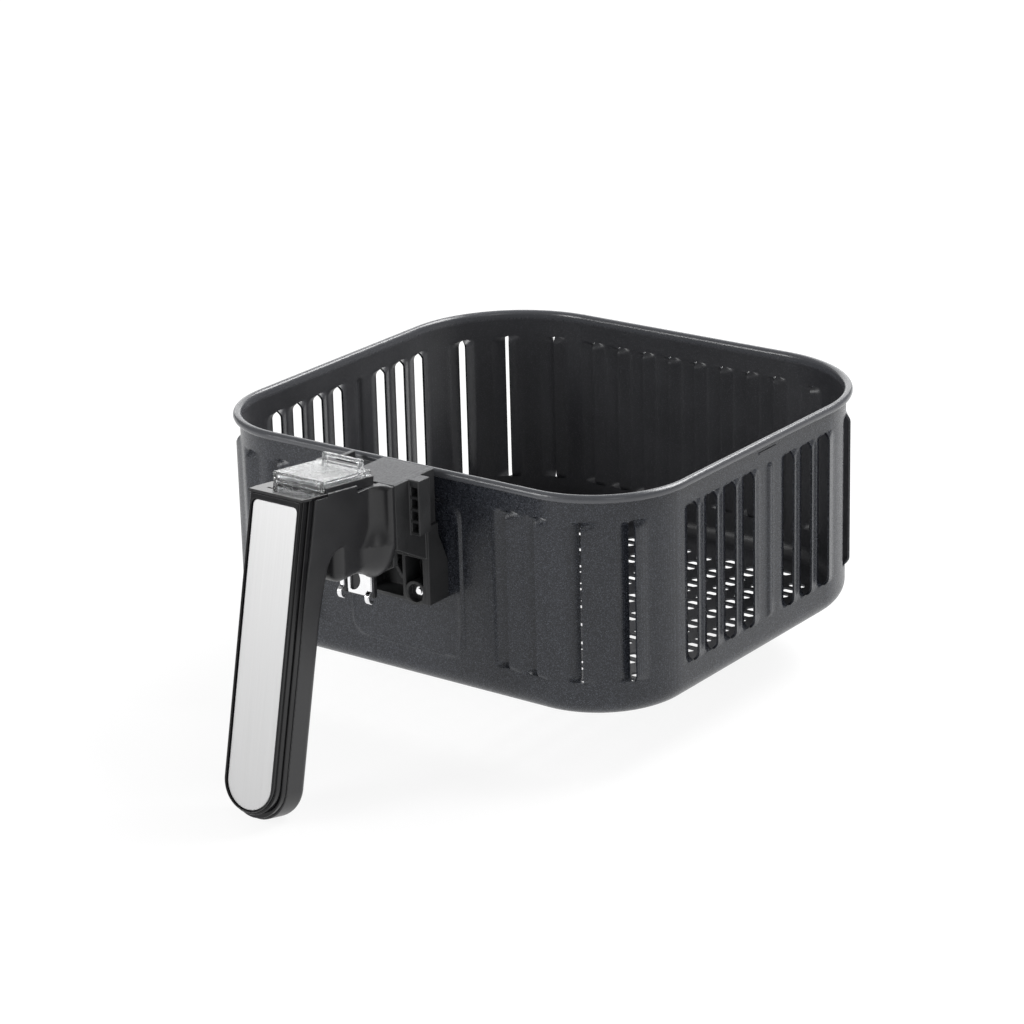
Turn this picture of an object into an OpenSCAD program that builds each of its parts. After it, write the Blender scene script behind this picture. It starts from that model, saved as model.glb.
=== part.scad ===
// Air fryer basket with a drop handle, a sliding button guard and a rocking pan latch.
// Origin: centre of the basket's underside. +Z up, the handle points to -Y.

/* [Basket] */
// Outside width over the rolled rim
rim_w = 240; // [237:0.5:244]
// Outside depth over the rolled rim
rim_d = 227.2; // [225:0.2:231]
// Height of the rim bead's centre above the underside
rim_z = 100.8; // [98:0.2:106]
// Outer radius of the two front wall corners
front_r = 44.1; // [43:0.1:45]
// Outer radius of the two rear wall corners
rear_r = 58; // [57:0.1:59]
// Radius of the curve from wall to floor
foot_r = 8.2; // [7.5:0.1:9]
// Radius of the rolled rim bead
bead_r = 2; // [1.8:0.1:2.2]
// Sheet thickness
sheet = 1; // [0.8:0.1:1.1]

/* [Louvres] */
// How far a blade's free edge stands out of the wall
blade_out = 2.6; // [1.6:0.1:2.6]
// How far the wall is pushed in before the cut
blade_in = 2; // [1.2:0.05:2]
// Width of the outward blade along the wall
blade_w = 7.4; // [6.5:0.1:7.6]
// Width of the pushed-in strip along the wall
push_w = 3.5; // [3:0.1:3.8]
// Width of the cut along the wall
slit_w = 1.6; // [1.2:0.1:1.8]
// Height of the louvres' lower end
slot_z0 = 16.2; // [15:0.1:20]
// Height of the louvres' upper end
slot_z1 = 89.6; // [86:0.1:90]

/* [Floor] */
// Length of a floor hole
hole_l = 8.4; // [7:0.1:9]
// Width of a floor hole
hole_w = 4.2; // [3:0.1:4.6]
// Distance from one column of holes to the next
hole_px = 14.3; // [14:0.1:15]
// Distance from one row of holes to the next
hole_py = 7.3; // [7:0.1:8]

/* [Grip] */
// Angle of the grip to the vertical
lean = 12.4; // [11:0.1:13]
// Slope of the handle's top
slope = 6.5; // [6:0.1:7]
// Half width of the grip's rear shell
grip_hw = 14.6; // [14.4:0.1:15]
// Depth of the grip from front to back
grip_t = 22; // [21:0.1:22.5]
// Length of the grip from top to bottom end
grip_l = 141; // [139:1:146]

/* [Motion] */
// Distance the button guard slides back over the grip
cover_travel = 15; // [12:1:15]
// Distance the release button goes down
button_travel = 3.5; // [3:0.1:3.5]

/* [Hidden] */
lip = 2 * bead_r - sheet;
hx = rim_w / 2 - lip;
hy = rim_d / 2 - lip;
fcx = hx - front_r;
fcy = front_r - hy;
rcx = hx - rear_r;
rcy = hy - rear_r;
panel_out = 0.8;
// Louvre places: distance along each wall from its middle, and angles round the corners
side_y = [-58, -43, -28, -13, 20, 35, 50];
back_x = [-52.5, -37.5, -22.5, -7.5, 7.5, 22.5, 37.5, 52.5];
front_x = [-71.1, -56.1, 56.1, 71.1];
rear_a = [26.3, 49.7, 73.4];
front_a = [36.0, 65.2];
// Latch pivot, and the screws' places on the wall
pvy = -150.5;
pvz = 80;
wall_screws = [[-16.2, 48.4], [16.2, 48.4], [0, 62]];
neck_fix = [[-8, 97], [8, 97], [-14.2, 86.5], [14.2, 86.5]];
// Thickness of the top cap
cap_t = 1.3;
frame_fix = [-24, -112];
bed_fix = [[-8.6, 45.2], [8.6, 45.2], [0, 20]];

// ---------- helpers ----------
module yz(x0, x1) translate([x0, 0, 0]) rotate([90, 0, 90]) linear_extrude(x1 - x0) children();
module xz(y0, y1) translate([0, y1, 0]) rotate([90, 0, 0]) linear_extrude(y1 - y0) children();
module bar(a, b) translate(a) cube(b - a);
module rod_y(x, z, r, y0, y1, $fn = 48) translate([x, y1, z]) rotate([90, 0, 0]) cylinder(r = r, h = y1 - y0);
module rod_x(y, z, r, x0, x1, $fn = 48) translate([x0, y, z]) rotate([0, 90, 0]) cylinder(r = r, h = x1 - x0);
module both() { children(); mirror([1, 0, 0]) children(); }
// The handle keeps its place on the front wall when the basket changes size
module on_wall() translate([0, 110.6 - hy, rim_z - 100.8]) children();
// Frame of the grip: local y runs into the grip, local z up along it
module on_grip() on_wall() translate([0, -196, 112]) rotate([-lean, 0, 0]) children();
// Frame of the handle's top: local y runs down the slope to the basket, local z is its normal
module on_top() on_wall() translate([0, -196, 112.4]) rotate([-slope, 0, 0]) children();
module round_rect(x0, y0, x1, y1, r) {
  translate([x0 + r, y0]) square([x1 - x0 - 2 * r, y1 - y0]);
  translate([x0, y0 + r]) square([x1 - x0, y1 - y0 - 2 * r]);
  for (x = [x0 + r, x1 - r], y = [y0 + r, y1 - r]) translate([x, y]) circle(r, $fn = 48);
}

// ---------- basket ----------
// Sheet section from the floor's edge, up the wall, to the rolled rim
module section(r) {
  translate([r - sheet, foot_r]) square([sheet, rim_z - 0.6 - foot_r]);
  intersection() {
    translate([r - foot_r, foot_r]) difference() { circle(foot_r, $fn = 64); circle(foot_r - sheet, $fn = 64); }
    translate([r - foot_r, 0]) square([foot_r, foot_r]);
  }
  translate([r - sheet + bead_r, rim_z]) circle(bead_r, $fn = 32);
}
module corner(x, y, a, r) translate([x, y, 0]) rotate([0, 0, a]) rotate_extrude(angle = 90, $fn = 96) section(r);
module floor_outline(g) {
  polygon([[hx - g, fcy], [hx - g, rcy], [rcx, hy - g], [-rcx, hy - g], [-hx + g, rcy], [-hx + g, fcy], [-fcx, -hy + g], [fcx, -hy + g]]);
  for (s = [-1, 1]) {
    translate([s * fcx, fcy]) circle(front_r - g, $fn = 96);
    translate([s * rcx, rcy]) circle(rear_r - g, $fn = 96);
  }
}
module floor_hole() polygon([[-hole_l / 2, 0], [-hole_l / 2 + 1.4, -hole_w / 2], [hole_l / 2 - 1.4, -hole_w / 2], [hole_l / 2, 0], [hole_l / 2 - 1.4, hole_w / 2], [-hole_l / 2 + 1.4, hole_w / 2]]);
module floor_holes()
  for (i = [-6:6], j = [-12:12]) {
    x = i * hole_px;
    y = (j + (i % 2 == 0 ? 0.5 : 0)) * hole_py;
    ax = abs(x) + hole_l / 2 + 6;
    if (ax < hx - foot_r - 4 && abs(y) < hy - foot_r - 12
        && norm([max(0, ax - rcx), max(0, y - rcy)]) < rear_r - foot_r - 2
        && norm([max(0, ax - fcx), max(0, fcy - y)]) < front_r - foot_r - 2)
      translate([x, y]) floor_hole();
  }
// A louvre in the frame of its wall: x is outward, y along the wall
module at_louvres() {
  for (y = side_y) { translate([hx, y, 0]) children(); }
  for (y = side_y) translate([-hx, y, 0]) rotate([0, 0, 180]) children();
  for (x = back_x) translate([x, hy, 0]) rotate([0, 0, 90]) children();
  for (x = front_x) translate([x, -hy, 0]) rotate([0, 0, -90]) children();
  for (a = rear_a, s = [0, 1]) translate([(s == 0 ? 1 : -1) * rcx, rcy, 0]) rotate([0, 0, s == 0 ? a : 180 - a]) translate([rear_r, 0, 0]) children();
  for (a = front_a, s = [0, 1]) translate([(s == 0 ? 1 : -1) * fcx, fcy, 0]) rotate([0, 0, s == 0 ? -a : 180 + a]) translate([front_r, 0, 0]) children();
}
module louvre_cut() translate([-4, -push_w - slit_w / 2, slot_z0]) cube([6, push_w + slit_w + blade_w, slot_z1 - slot_z0]);
module louvre_blades() translate([0, 0, slot_z0]) linear_extrude(slot_z1 - slot_z0) {
  polygon([[0, -push_w - slit_w / 2], [-sheet, -push_w - slit_w / 2], [-sheet - blade_in, -slit_w / 2], [-blade_in, -slit_w / 2]]);
  polygon([[0, slit_w / 2 + blade_w], [-sheet, slit_w / 2 + blade_w], [blade_out - sheet, slit_w / 2], [blade_out, slit_w / 2]]);
}
module basket_shell() color([0.13, 0.14, 0.16]) {
  difference() {
    union() {
      corner(fcx, fcy, -90, front_r);
      corner(-fcx, fcy, 180, front_r);
      corner(rcx, rcy, 0, rear_r);
      corner(-rcx, rcy, 90, rear_r);
      both() translate([0, rcy, 0]) rotate([90, 0, 0]) linear_extrude(rcy - fcy) section(hx);
      rotate([0, 0, -90]) rotate([90, 0, 0]) linear_extrude(2 * fcx, center = true) section(hy);
      rotate([0, 0, 90]) rotate([90, 0, 0]) linear_extrude(2 * rcx, center = true) section(hy);
      linear_extrude(sheet) difference() { floor_outline(foot_r); floor_holes(); }
      // raised panel under the bracket
      xz(-hy - panel_out, -hy + 0.2) round_rect(-31, 15.5, 31, 88, 8);
    }
    at_louvres() louvre_cut();
    xz(-hy + sheet - panel_out, -hy + sheet + 0.1) round_rect(-30, 16.5, 30, 87, 7);
    on_wall() for (p = wall_screws) rod_y(p[0], p[1], 2.3, -112, -108);
  }
  at_louvres() louvre_blades();
  // upright stiffening ribs between the side louvres
  both() bar([hx - 0.2, 2, slot_z0], [hx + 0.8, 5, slot_z1]);
}

// ---------- wall bracket ----------
module backing_plate() color([0.62, 0.63, 0.65]) on_wall() difference() {
  xz(-110.4, -108.4) round_rect(-24, 41, 24, 70, 4);
  for (p = wall_screws) rod_y(p[0], p[1], 2.3, -112, -107);
}
module bracket_screws() color([0.8, 0.8, 0.82]) on_wall() for (p = wall_screws) {
  rod_y(p[0], p[1], 3.7, -108.4, -107);
  rod_y(p[0], p[1], 2.9, -107, -106.3);
  rod_y(p[0], p[1], 1.95, -121.9, -108.4);
  rod_y(p[0], p[1], 1.4, -122.7, -121.9);
}
module block_side() polygon([[-125, 44], [-111.4, 44], [-111.4, 61.5], [-117.4, 75], [-117.4, 105], [-145, 105], [-145, 76], [-141, 73.9], [-126, 66], [-125, 66]]);
module bracket_block() color([0.16, 0.16, 0.17]) on_wall() difference() {
  union() {
    both() yz(20.6, 23) block_side();
    both() yz(23, 24.2) polygon([[-125, 44], [-111.4, 44], [-111.4, 61.5], [-117.4, 75], [-117.4, 80.5], [-125, 80.5]]);
    // top and rear plates
    bar([-20.6, -145, 101.5], [20.6, -117.4, 105]);
    bar([-20.6, -120.4, 66.5], [20.6, -117.4, 101.5]);
    yz(-20.6, 20.6) polygon([[-114.4, 44], [-111.4, 44], [-111.4, 61.5], [-117.4, 75], [-120.4, 75], [-114.4, 61.5]]);
    // front plate
    xz(-145, -142) polygon([[-9.8, 61.5], [9.8, 61.5], [20.6, 67.5], [20.6, 101.5], [-20.6, 101.5], [-20.6, 67.5]]);
    // ears with stacked pockets
    both() bar([23, -135.3, 80], [28.2, -127.2, 105]);
    // lower frame: floor, top web, ribs and bosses
    bar([-20.6, -125, 44], [20.6, -114.4, 45.5]);
    bar([-20.6, -125, 64.8], [20.6, -114.4, 66.5]);
    both() bar([9.4, -125, 45.5], [11, -114.4, 64.8]);
    for (p = wall_screws) rod_y(p[0], p[1], 5.6, -125, -112);
    both() yz(12, 14) polygon([[-142, 101.5], [-120.4, 101.5], [-120.4, 80], [-128, 80], [-142, 92]]);
  }
  // left-hand relief in the top
  bar([-20.5, -131, 90], [-5, -117, 106]);
  for (p = wall_screws) {
    rod_y(p[0], p[1], 2, -130, -110);
    rod_y(p[0], p[1], 4, -130, -122.2);
  }
  for (p = neck_fix) rod_y(p[0], p[1], 1.8, -146, -141);
  // way for the swinging latch
  bar([-9.4, -146, 60], [9.4, -141, 85]);
  // pockets in the ears' front faces
  both() for (z = [81.6, 87, 92.4, 97.8]) bar([24, -136, z], [27.2, -131, z + 4]);
}

// ---------- handle ----------
module grip2d(w, l, top = 0) {
  translate([-w, -(l - w)]) square([2 * w, l - w + top]);
  translate([0, -(l - w)]) circle(w, $fn = 64);
}
module neck_side() polygon([[-197, 64], [-186, 62], [-183.9, 69], [-181.4, 76], [-179.8, 80], [-177.7, 82.5], [-175, 83.5], [-145, 83.5], [-145, 120], [-197, 120]]);
module under_top() on_top() bar([-40, -20, 0], [40, 80, 40]);
module handle_body() color([0.12, 0.12, 0.13]) difference() {
  union() {
    // rear shell of the grip
    on_grip() {
      xz(8.3, grip_t - 3.7) grip2d(grip_hw, grip_l);
      hull() {
        xz(grip_t - 3.8, grip_t - 3.7) grip2d(grip_hw, grip_l, $fn = 32);
        xz(grip_t - 1.3, grip_t - 1.2) grip2d(grip_hw - 1.2, grip_l - 1.2, $fn = 32);
      }
      hull() {
        xz(grip_t - 1.3, grip_t - 1.2) grip2d(grip_hw - 1.2, grip_l - 1.2, $fn = 32);
        xz(grip_t - 0.1, grip_t) grip2d(grip_hw - 3.7, grip_l - 3.7, $fn = 32);
      }
    }
    // neck and its flare to the bracket
    on_wall() intersection() {
      yz(-15.2, 15.2) neck_side();
      translate([0, -196, 112]) rotate([-lean, 0, 0]) bar([-20, 8.3, -90], [20, 70, 20]);
    }
    on_wall() difference() {
      bar([-23, -153.2, 83.5], [23, -145, 108]);
      both() translate([21.2, -154.2, 80]) cylinder(r = 6, h = 40, $fn = 64);
      both() bar([21.2, -160, 80], [30, -148.2, 120]);
    }
    // rounded lobe over the latch
    on_wall() hull() {
      intersection() {
        rod_y(0, 87, 23, -147, -145, $fn = 48);
        bar([-24, -150, 60], [24, -140, 86]);
      }
      xz(-157, -156) round_rect(-16.6, 67, 16.6, 84, 7, $fn = 32);
      rod_x(-169, 74.4, 6.4, -15.1, 15.1, $fn = 32);
      bar([-15.1, -175.4, 75], [15.1, -165, 83.9]);
    }
  }
  // flat top, with seats for the cap and the guide bed
  on_top() bar([-40, -20, 0], [40, 80, 40]);
  on_top() bar([-40, -20, -cap_t], [40, 16.35, 1]);
  on_top() bar([-14.1, 16.3, -2.2], [14.1, 70, 1]);
  on_wall() bar([-30, -160, 105], [30, -144, 112]);
  // button well, spring seat and stem guide
  on_top() bar([-9.6, 22.6, -12.5], [9.6, 41.6, 0]);
  on_top() translate([0, 31, -40]) cylinder(r = 2.06, h = 36, $fn = 48);
  on_top() for (p = bed_fix) translate([p[0], p[1], -6]) cylinder(r = 1.25, h = 5, $fn = 32);
  // lever chamber, open to the rear, and the latch's way down
  on_wall() {
    bar([-11.6, -173, 76], [11.6, -144, 92]);
    bar([-11.6, -158, 71], [11.6, -144, 77]);
    bar([-9, -171, 71.5], [9, -157, 77]);
    bar([-10.5, -153, 55], [10.5, -144, 75]);
    both() rod_x(pvy, pvz, 1.56, 11, 14.2);
    both() bar([11, pvy, pvz - 1.56], [14.2, -144, pvz + 1.56]);
    for (p = neck_fix) rod_y(p[0], p[1], 1.55, abs(p[0]) < 10 ? -154 : -150.2, -144);
  }
  // hollow of the grip
  on_grip() {
    xz(8, grip_t - 3.4) difference() {
      translate([0, -26]) grip2d(grip_hw - 2.6, grip_l - 29);
      for (z = frame_fix) translate([0, z]) circle(4.4, $fn = 48);
    }
    for (z = frame_fix) rod_y(0, z, 1.55, 8, 17.5);
  }
}
module neck_screws() color([0.7, 0.7, 0.72]) on_wall() for (p = neck_fix) {
  rod_y(p[0], p[1], 3, -142, -139.8);
  rod_y(p[0], p[1], 1.5, abs(p[0]) < 10 ? -153 : -149.8, -142);
}
module grip_frame() color([0.05, 0.05, 0.06]) on_grip() difference() {
  union() {
    xz(0, 2) grip2d(13.3, 136.9, -1);
    xz(2, 4.5) grip2d(13.9, 137.9, -1);
    xz(4.5, 5.3) grip2d(13.4, 137.4, -1);
    xz(5.3, 8.2) grip2d(14.3, 140, -1);
  }
  on_slope_cut();
  translate([0, 0, -3.4]) xz(-1, 2.35) inlay2d(12.3, 132.7);
  xz(4.4, 9) difference() {
    translate([0, -8]) grip2d(11.6, 128);
    for (z = frame_fix) translate([0, z]) circle(5, $fn = 48);
  }
  for (z = frame_fix) {
    rod_y(0, z, 1.7, 0, 9);
    rod_y(0, z, 3.2, 0, 4.3);
  }
}
// Everything above the underside of the top cap, seen from the grip's frame
module on_slope_cut() rotate([lean, 0, 0]) translate([0, 0, 0.4]) rotate([-slope, 0, 0]) bar([-40, -20, -cap_t], [40, 30, 20]);
module inlay2d(w, l) {
  translate([-w, -(l - w)]) square([2 * w, l - w - 2.5]);
  translate([-w + 2.5, -3]) square([2 * w - 5, 3]);
  for (s = [-1, 1]) translate([s * (w - 2.5), -2.5]) circle(2.5, $fn = 32);
  translate([0, -(l - w)]) circle(w, $fn = 64);
}
module grip_inlay() color([0.82, 0.82, 0.81]) on_grip() translate([0, 0, -3.55]) xz(0.9, 2.05) inlay2d(12, 132.4);
module inlay_tape() color([0.3, 0.3, 0.3]) on_grip() translate([0, 0, -7.55]) xz(2.05, 2.35) difference() {
  inlay2d(9.5, 124);
  for (z = frame_fix) translate([0, z + 7.55]) circle(3.6, $fn = 48);
}
module frame_screws() color([0.7, 0.7, 0.72]) on_grip() for (z = frame_fix) {
  rod_y(0, z, 3, 2.7, 4.3);
  rod_y(0, z, 1.5, 4.3, 17);
}
module top_cap() color([0.06, 0.06, 0.07]) on_top() difference() {
  translate([0, 0, -cap_t]) linear_extrude(cap_t) polygon([[-14.3, -0.3], [14.3, -0.3], [15.2, 5.5], [15.2, 16.3], [-15.2, 16.3], [-15.2, 5.5]]);
  bar([-9.5, 6.2, -0.8], [-6.5, 7.2, 1]);
}
module guide_bed() color([0.1, 0.1, 0.11]) on_top() difference() {
  bar([-14, 16.4, -2.2], [14, 48.6, 1.9]);
  bar([-8.3, 26.7, -3], [8.3, 41.3, 4]);
  both() bar([11.5, 14, 0.7], [12.9, 50, 4]);
  bar([-3.3, 41.9, 0.2], [3.3, 49, 4]);
  for (p = bed_fix) {
    translate([p[0], p[1], -3]) cylinder(r = 1.3, h = 8, $fn = 32);
    translate([p[0], p[1], 0.2]) cylinder(r = 2.2, h = 5, $fn = 32);
  }
}
module bed_screws() color([0.75, 0.75, 0.77]) on_top() for (p = bed_fix) {
  translate([p[0], p[1], 0.2]) cylinder(r = 2, h = 1.2, $fn = 32);
  translate([p[0], p[1], -5.6]) cylinder(r = 1.2, h = 5.8, $fn = 32);
}
module slide_cover() color([0.85, 0.9, 0.92, 0.4]) on_top() {
  // plate, side skirts with their tongues, and front lip
  bar([-13.6, 15, 3.7], [13.6, 45.8, 4.9]);
  both() bar([12.4, 15, 2], [13.6, 45.8, 3.8]);
  both() bar([11.7, 16.4, 0.9], [12.7, 45.4, 3.8]);
  bar([-13.6, 15, 0.1], [13.6, 16.2, 3.8]);
  // catch for the detent spring
  bar([-2.5, 44.9, 2.15], [2.5, 45.7, 3.8]);
  // finger loop and rear tabs
  difference() {
    bar([-10.6, 43.4, 4.8], [10.6, 45.8, 8.8]);
    bar([-8.6, 43, 5.3], [8.6, 46, 7.4]);
  }
  both() translate([13.2, 45, 2.6]) cylinder(r = 1.4, h = 2.3, $fn = 32);
}
module cover_detent_spring() color([0.75, 0.76, 0.78]) on_top() yz(-2.8, 2.8)
  polygon([[42, 0.2], [42.4, 0.2], [43.9, 1.6], [44.5, 1.6], [46, 0.2], [48.5, 0.2], [48.5, 0.6], [46.2, 0.6], [44.7, 2], [43.7, 2], [42.2, 0.6], [42, 0.6]]);

// ---------- release mechanism ----------
module release_button() color([0.2, 0.2, 0.21]) on_top() {
  difference() {
    bar([-8, 27, -2.5], [8, 41, 1.7]);
    // finger ridges
    for (y = [30, 32.8, 35.6, 38.4]) bar([-6.5, y, 1.3], [6.5, y + 1.2, 3]);
  }
  bar([-9.2, 23, -4.4], [9.2, 41.2, -2.4]);
  translate([0, 31, -18.2]) cylinder(r = 2, h = 14, $fn = 48);
  translate([0, 31, -18.2]) sphere(r = 2, $fn = 48);
}
// Coil along z from 0 to h: wire radius w, coil radius r, n turns
module coil(r, w, h, n, seg = 16, sides = 6) {
  m = n * seg;
  pts = [for (i = [0:m], k = [0:sides - 1])
    let (a = 360 * i / seg, b = 360 * k / sides, rr = r + w * cos(b)) [rr * cos(a), rr * sin(a), w + (h - 2 * w) * i / m + w * sin(b)]];
  polyhedron(pts, concat(
    [[for (k = [0:sides - 1]) k]],
    [for (i = [0:m - 1], k = [0:sides - 1]) let (q = (k + 1) % sides) [i * sides + k, (i + 1) * sides + k, (i + 1) * sides + q, i * sides + q]],
    [[for (k = [sides - 1:-1:0]) m * sides + k]]), convexity = 10);
}
module button_spring() color([0.75, 0.75, 0.77]) on_top() translate([0, 31, -12.4]) coil(4, 0.4, 7.9, 4);
module latch_lever() color([0.18, 0.18, 0.19]) on_wall() difference() {
  union() {
    rod_x(pvy, pvz, 4, -7, 7);
    yz(-5, 5) polygon([[-170.5, 88.2], [-170.5, 85.6], [-156, 79.5], [-152, 76.6], [-149, 83.8], [-155, 86], [-163, 88.2]]);
    bar([-8.8, -144.4, 50.5], [8.8, -142, 74]);
    bar([-6.5, -144.4, 73], [6.5, -142, 82]);
    bar([-6.5, -148, 77.5], [6.5, -142, 82]);
  }
  rod_x(pvy, pvz, 1.55, -8, 8);
  both() rod_y(6.4, 71, 1.1, -146, -141);
}
module latch_fork() color([0.85, 0.86, 0.88]) on_wall() difference() {
  union() {
    xz(-146, -144.4) {
      translate([-8.8, 53.2]) square([17.6, 20.8]);
      translate([-4.4, 51.6]) square([10.2, 2]);
    }
    // claws curling forward
    both() difference() {
      rod_x(-145.2, 51.2, 3.1, 6.4, 8.8);
      rod_x(-145.2, 51.2, 1.9, 5, 10);
      bar([5, -144.4, 45], [10, -138, 60]);
    }
  }
  xz(-147, -144) {
    translate([-6.4, 40]) square([2, 23]);
    intersection() { translate([-2.6, 58.4]) circle(5.2, $fn = 48); translate([-2.9, 53.3]) square([9, 9.7]); }
  }
  both() rod_y(6.4, 71, 1.1, -147, -144);
}
module fork_rivets() color([0.8, 0.8, 0.82]) on_wall() both() {
  rod_y(6.4, 71, 1.05, -146, -142.4);
  rod_y(6.4, 71, 1.8, -146.6, -146);
}
module pivot_pin() color([0.75, 0.75, 0.78]) on_wall() rod_x(pvy, pvz, 1.5, -14, 14);
module pin_clips() color([0.5, 0.5, 0.52]) on_wall() both() difference() {
  rod_x(pvy, pvz, 3.2, 10.7, 11.3);
  rod_x(pvy, pvz, 1.52, 10, 12);
  bar([10, pvy - 1.1, pvz - 5], [12, pvy + 1.1, pvz]);
}
module latch_spring() color([0.75, 0.75, 0.77]) on_wall() translate([7.2, pvy, pvz]) rotate([0, 90, 0]) coil(2.5, 0.35, 3.3, 4);

basket_shell();
backing_plate();
bracket_screws();
bracket_block();
handle_body();
neck_screws();
grip_frame();
grip_inlay();
inlay_tape();
frame_screws();
top_cap();
guide_bed();
bed_screws();
slide_cover();
cover_detent_spring();
release_button();
button_spring();
latch_lever();
latch_fork();
fork_rivets();
pivot_pin();
pin_clips();
latch_spring();
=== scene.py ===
import math
import bpy
import bmesh
import numpy as np
from mathutils import Matrix, Vector, geometry


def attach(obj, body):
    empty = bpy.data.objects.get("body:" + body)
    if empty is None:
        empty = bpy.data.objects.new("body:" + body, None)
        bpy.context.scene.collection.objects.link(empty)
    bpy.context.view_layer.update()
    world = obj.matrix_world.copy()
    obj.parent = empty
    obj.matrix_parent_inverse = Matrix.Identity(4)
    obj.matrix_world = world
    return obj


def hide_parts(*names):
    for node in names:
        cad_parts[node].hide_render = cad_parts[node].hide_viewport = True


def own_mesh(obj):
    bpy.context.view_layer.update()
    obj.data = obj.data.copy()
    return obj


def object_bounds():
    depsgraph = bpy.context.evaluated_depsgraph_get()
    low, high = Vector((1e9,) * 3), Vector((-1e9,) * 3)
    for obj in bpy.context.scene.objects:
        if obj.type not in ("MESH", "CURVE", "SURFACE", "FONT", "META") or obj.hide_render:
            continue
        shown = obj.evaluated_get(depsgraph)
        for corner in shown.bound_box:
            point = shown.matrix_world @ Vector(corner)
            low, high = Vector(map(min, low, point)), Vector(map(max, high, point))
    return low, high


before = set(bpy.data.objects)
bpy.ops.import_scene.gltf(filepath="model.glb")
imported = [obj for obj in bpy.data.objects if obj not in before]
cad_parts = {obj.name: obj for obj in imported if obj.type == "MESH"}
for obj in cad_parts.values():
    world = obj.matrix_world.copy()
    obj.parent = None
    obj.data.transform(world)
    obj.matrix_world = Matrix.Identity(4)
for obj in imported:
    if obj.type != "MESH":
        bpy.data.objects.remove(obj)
cad_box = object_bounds()
MM = 0.001
BODY = "handle_and_basket"

# ------------------------------------------------------------------ camera
cam_data = bpy.data.cameras.new("camera")
cam_data.lens = 121.562
cam_data.sensor_width = 36.0
cam_data.clip_start = 0.05
cam = bpy.data.objects.new("camera", cam_data)
bpy.context.scene.collection.objects.link(cam)
cam.matrix_world = Matrix((
    (0.80571484, -0.18143397, 0.56383093, 0.89257),
    (0.59177362, 0.28684728, -0.75334098, -1.22418),
    (-0.02505172, 0.94063827, 0.33848494, 0.59014),
    (0, 0, 0, 1)))
bpy.context.scene.camera = cam


# ------------------------------------------------------------------ distance functions, in millimetres
def rbox(x, y, z, a, b, r=0.3):
    c = [(a[i] + b[i]) / 2 for i in range(3)]
    h = [(b[i] - a[i]) / 2 - r for i in range(3)]
    qx, qy, qz = np.abs(x - c[0]) - h[0], np.abs(y - c[1]) - h[1], np.abs(z - c[2]) - h[2]
    out = np.sqrt(np.maximum(qx, 0) ** 2 + np.maximum(qy, 0) ** 2 + np.maximum(qz, 0) ** 2)
    return out + np.minimum(np.maximum(np.maximum(qx, qy), qz), 0) - r


def ru(a, b, r):
    return np.maximum(r, np.minimum(a, b)) - np.hypot(np.maximum(r - a, 0), np.maximum(r - b, 0))


def ri(a, b, r):
    return np.minimum(-r, np.maximum(a, b)) + np.hypot(np.maximum(r + a, 0), np.maximum(r + b, 0))


def cut(a, b, r=0.0):
    return ri(a, -b, r) if r > 0 else np.maximum(a, -b)


def poly(u, v, pts):
    u, v = np.broadcast_arrays(u, v)
    d = np.full(u.shape, 1e9)
    s = np.ones(u.shape)
    for i in range(len(pts)):
        ax, ay = pts[i]
        bx, by = pts[i - 1]
        ex, ey = bx - ax, by - ay
        wx, wy = u - ax, v - ay
        t = np.clip((wx * ex + wy * ey) / (ex * ex + ey * ey), 0, 1)
        d = np.minimum(d, (wx - ex * t) ** 2 + (wy - ey * t) ** 2)
        c1, c2, c3 = v >= ay, v < by, ex * wy > ey * wx
        s = np.where((c1 & c2 & c3) | (~c1 & ~c2 & ~c3), -s, s)
    return s * np.sqrt(d)


def rrect(u, v, u0, v0, u1, v1, r):
    qx = np.abs(u - (u0 + u1) / 2) - (u1 - u0) / 2 + r
    qy = np.abs(v - (v0 + v1) / 2) - (v1 - v0) / 2 + r
    return np.hypot(np.maximum(qx, 0), np.maximum(qy, 0)) + np.minimum(np.maximum(qx, qy), 0) - r


def smooth(t):
    t = np.clip(t, 0, 1)
    return t * t * (3 - 2 * t)


def slab(t, a, b):
    return np.abs(t - (a + b) / 2) - (b - a) / 2


def rod(u, v, t, cu, cv, r, a, b, e=0.2):
    return ri(np.hypot(u - cu, v - cv) - r, slab(t, a, b), e)


LEAN, SLOPE = math.radians(12.4), math.radians(6.5)


def to_grip(y, z):
    return (y + 196) * math.cos(LEAN) - (z - 112) * math.sin(LEAN), (y + 196) * math.sin(LEAN) + (z - 112) * math.cos(LEAN)


def from_grip(y, z):
    return -196 + y * math.cos(LEAN) + z * math.sin(LEAN), 112 - y * math.sin(LEAN) + z * math.cos(LEAN)


def to_top(y, z):
    return (y + 196) * math.cos(SLOPE) - (z - 112.4) * math.sin(SLOPE), (y + 196) * math.sin(SLOPE) + (z - 112.4) * math.cos(SLOPE)


def from_top(y, z):
    return -196 + y * math.cos(SLOPE) + z * math.sin(SLOPE), 112.4 - y * math.sin(SLOPE) + z * math.cos(SLOPE)


def tongue(x, z, w, l):
    """Outline of the grip: straight sides and a full round bottom end."""
    zz = z + (l - w)
    return np.where(zz > 0, np.abs(x) - w, np.hypot(x, zz) - w)


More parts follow.
